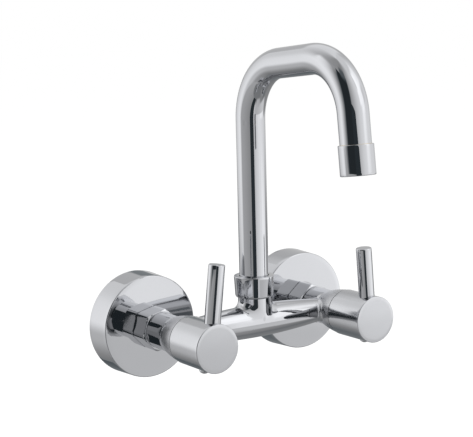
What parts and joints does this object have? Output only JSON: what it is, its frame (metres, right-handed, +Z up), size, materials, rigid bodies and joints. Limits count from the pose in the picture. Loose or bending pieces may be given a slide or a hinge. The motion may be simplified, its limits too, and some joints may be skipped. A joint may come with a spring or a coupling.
{
  "type": "wall-mounted mixer tap",
  "caption": "Chrome wall-mounted kitchen sink mixer with round flanges, pin-lever knobs, a barrel bridge body and a swivelling square-arched tube spout with an aerator.",
  "frame": {"origin": "midway between the two inlets, on the finished wall, at the height of the valve axes", "axes": "+X to the right along the wall as the user sees it, +Y into the wall, +Z up"},
  "size_m": [0.2332, 0.2193, 0.2622],
  "materials": {
    "chrome": "polished chrome plate",
    "knob_chrome": "softly polished chrome plate",
    "brass": "machined",
    "rubber": "moulded",
    "ceramic": "lapped alumina",
    "steel": "plain stainless",
    "plastic": "moulded"
  },
  "bodies": {
    "base": {"bridge_body": "chrome", "left_flange": "chrome", "right_flange": "chrome", "left_wall_leg": "brass", "right_wall_leg": "brass", "left_union_nut": "chrome", "right_union_nut": "chrome", "left_inlet_washer": "rubber", "right_inlet_washer": "rubber", "left_nipple": "brass", "right_nipple": "brass", "left_cartridge_body": "brass", "right_cartridge_body": "brass", "left_cartridge_oring": "rubber", "right_cartridge_oring": "rubber", "left_seat_seal": "rubber", "right_seat_seal": "rubber", "left_fixed_disc": "ceramic", "right_fixed_disc": "ceramic", "spout_collar": "chrome", "slip_washer": "plastic"},
    "left_handle": {"left_moving_disc": "ceramic", "left_spindle": "brass", "left_inner_oring": "rubber", "left_outer_oring": "rubber", "left_circlip": "steel", "left_knob": "knob_chrome", "left_lever": "chrome", "left_grub_screw": "steel", "left_plug": "chrome"},
    "right_handle": {"right_moving_disc": "ceramic", "right_spindle": "brass", "right_inner_oring": "rubber", "right_outer_oring": "rubber", "right_circlip": "steel", "right_knob": "knob_chrome", "right_lever": "chrome", "right_grub_screw": "steel", "right_plug": "chrome"},
    "spout": {"spout_tube": "chrome", "spout_tail": "brass", "tail_oring_low": "rubber", "tail_oring_high": "rubber", "end_adapter": "brass", "aerator_housing": "chrome", "aerator_washer": "rubber", "aerator_insert": "plastic", "aerator_screen": "steel"}
  },
  "joints": [
    {"name": "left_handle_turn", "type": "hinge", "parent": "base", "child": "left_handle", "pos_m": [-0.075, 0, 0], "axis": [0, -1, 0], "range_deg": [0, 90]},
    {"name": "right_handle_turn", "type": "hinge", "parent": "base", "child": "right_handle", "pos_m": [0.075, 0, 0], "axis": [0, 1, 0], "range_deg": [0, 90]},
    {"name": "spout_swivel", "type": "hinge", "parent": "base", "child": "spout", "pos_m": [0, -0.0604, 0], "axis": [0, 0, 1], "range_deg": [-90, 90]}
  ]
}
